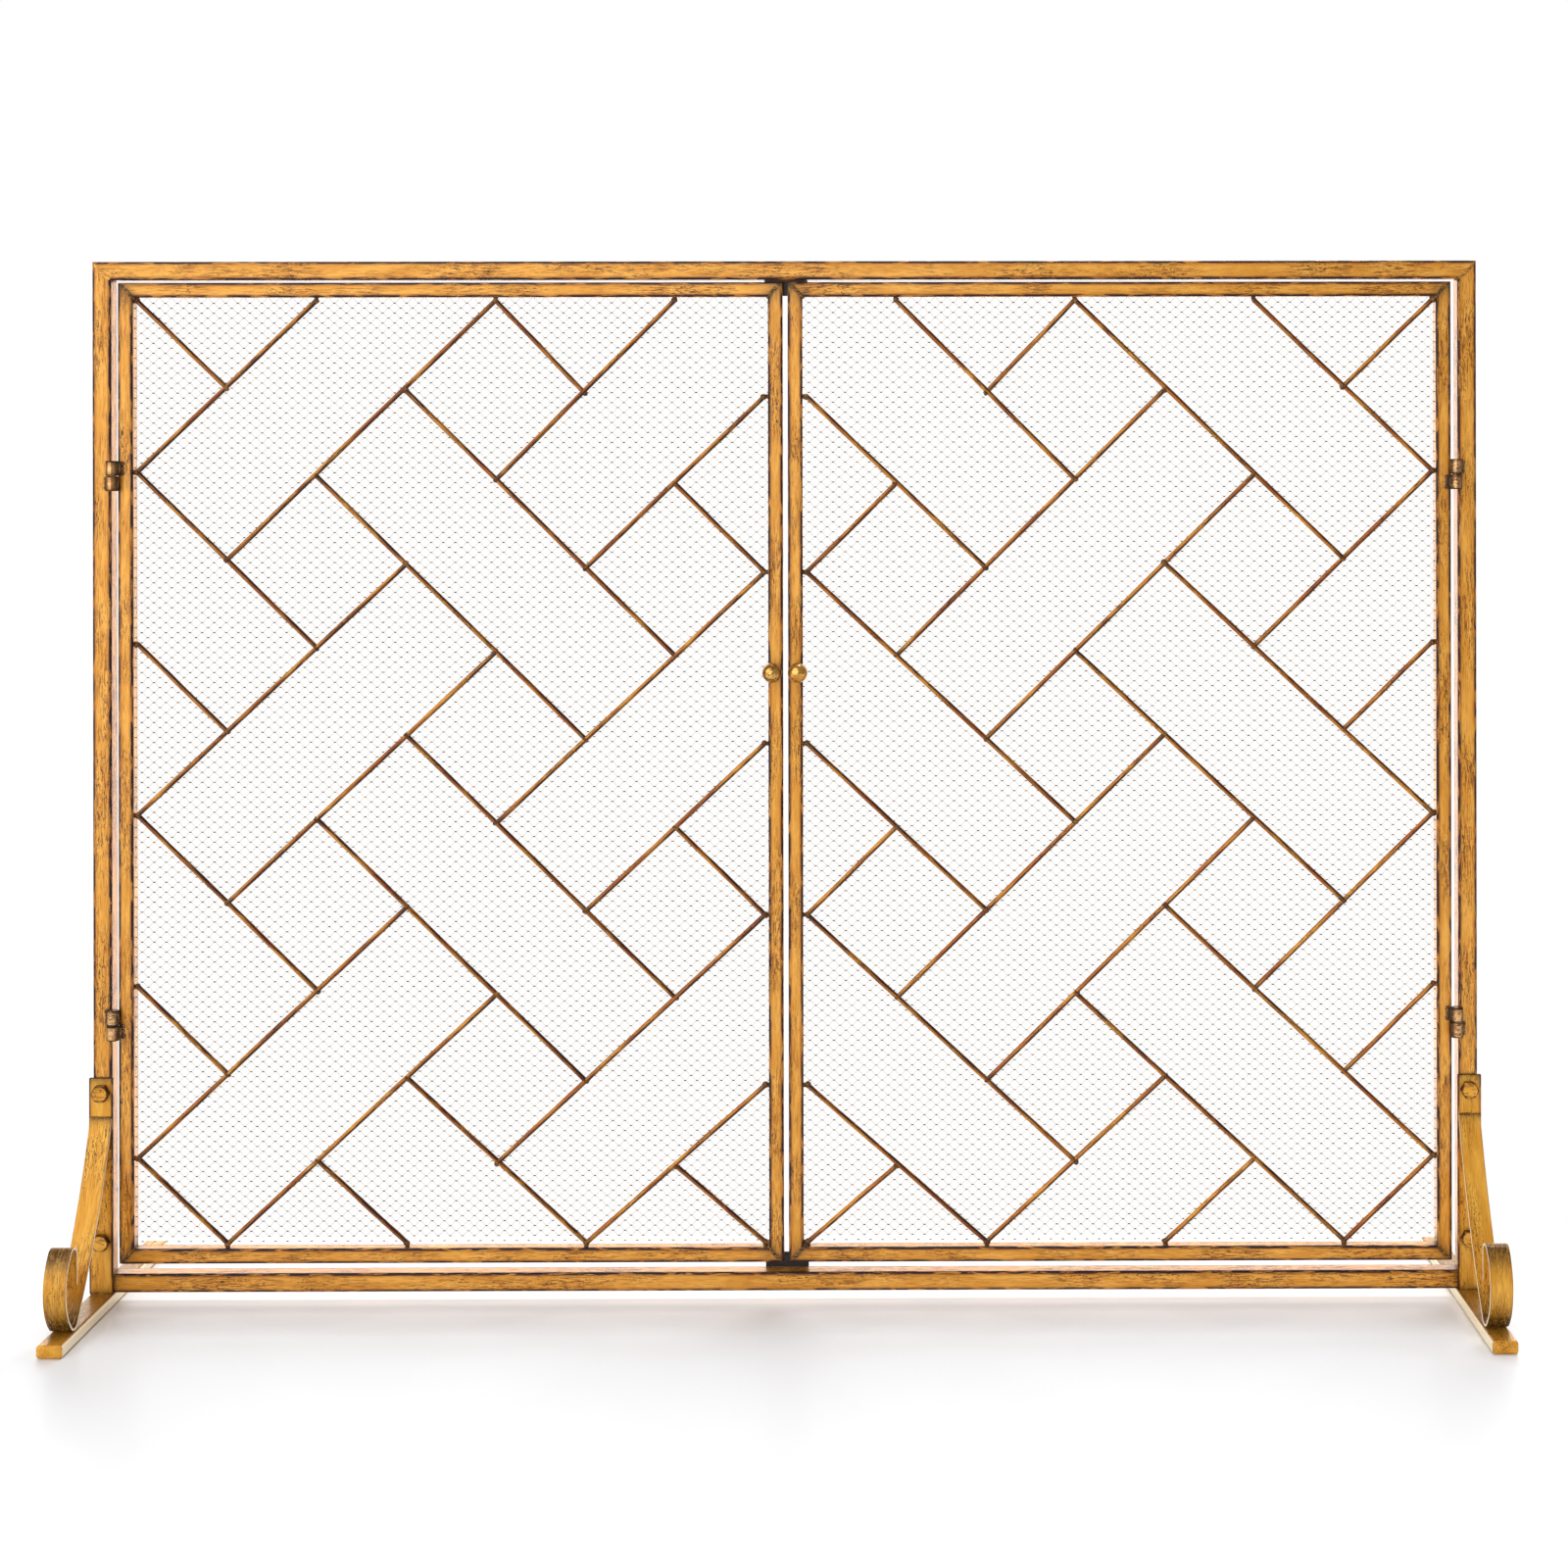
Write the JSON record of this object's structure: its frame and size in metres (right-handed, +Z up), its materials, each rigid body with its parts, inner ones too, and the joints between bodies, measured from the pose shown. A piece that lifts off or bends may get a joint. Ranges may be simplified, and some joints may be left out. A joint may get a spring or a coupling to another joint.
{
  "type": "fireplace screen",
  "caption": "Free-standing metal fireplace screen: a square-tube frame on scroll-braced feet with two hinged doors of basket-weave rods over woven mesh.",
  "frame": {"origin": "on the floor, midway between the two feet and midway along their length", "axes": "+X to the right when facing the screen, +Y towards the fire, +Z up; the front with the knobs and scrolls faces -Y"},
  "size_m": [1.123, 0.24, 0.842],
  "materials": {
    "antique_gold": "brushed-on antique gold paint over dark base, glossy lacquer",
    "antique_bronze": "dark bronze, rubbed, semi-gloss",
    "lattice_gold": "antique gold and red-brown, glossy",
    "knob_gold": "polished antique gold",
    "mesh_bronze": "thin dark bronze wire",
    "black_paint": "black paint, satin",
    "zinc_plate": "zinc plated"
  },
  "bodies": {
    "frame": {"top_rail": "antique_gold", "bottom_rail": "antique_gold", "left_post": "antique_gold", "right_post": "antique_gold", "left_foot_bar": "antique_gold", "right_foot_bar": "antique_gold", "left_leg_plate": "antique_gold", "right_leg_plate": "antique_gold", "left_scroll_brace": "antique_gold", "right_scroll_brace": "antique_gold", "left_upper_leg_bolt": "antique_gold", "left_upper_leg_nut": "zinc_plate", "left_upper_post_knuckle": "antique_bronze", "left_upper_hinge_pin": "antique_bronze", "left_lower_leg_bolt": "antique_gold", "left_lower_leg_nut": "zinc_plate", "left_lower_post_knuckle": "antique_bronze", "left_lower_hinge_pin": "antique_bronze", "left_top_magnet": "black_paint", "left_bottom_magnet": "black_paint", "right_upper_leg_bolt": "antique_gold", "right_upper_leg_nut": "zinc_plate", "right_upper_post_knuckle": "antique_bronze", "right_upper_hinge_pin": "antique_bronze", "right_lower_leg_bolt": "antique_gold", "right_lower_leg_nut": "zinc_plate", "right_lower_post_knuckle": "antique_bronze", "right_lower_hinge_pin": "antique_bronze", "right_top_magnet": "black_paint", "right_bottom_magnet": "black_paint", "top_catch_plate": "black_paint", "bottom_catch_plate": "black_paint"},
    "left_door": {"left_upper_door_knuckle": "antique_bronze", "left_lower_door_knuckle": "antique_bronze", "left_door_top_rail": "antique_gold", "left_door_bottom_rail": "antique_gold", "left_door_hinge_stile": "antique_gold", "left_door_meeting_stile": "antique_gold", "left_door_mesh_panel": "mesh_bronze", "left_door_lattice": "lattice_gold", "left_door_knob": "knob_gold", "left_door_knob_screw": "zinc_plate"},
    "right_door": {"right_upper_door_knuckle": "antique_bronze", "right_lower_door_knuckle": "antique_bronze", "right_door_top_rail": "antique_gold", "right_door_bottom_rail": "antique_gold", "right_door_hinge_stile": "antique_gold", "right_door_meeting_stile": "antique_gold", "right_door_mesh_panel": "mesh_bronze", "right_door_lattice": "lattice_gold", "right_door_knob": "knob_gold", "right_door_knob_screw": "zinc_plate"}
  },
  "joints": [
    {"name": "left_door_hinge", "type": "hinge", "parent": "frame", "child": "left_door", "pos_m": [-0.54125, -0.0128, 0.448], "axis": [0, 0, -1], "range_deg": [0, 90]},
    {"name": "right_door_hinge", "type": "hinge", "parent": "frame", "child": "right_door", "pos_m": [0.54125, -0.0128, 0.448], "axis": [0, 0, 1], "range_deg": [0, 90]}
  ]
}
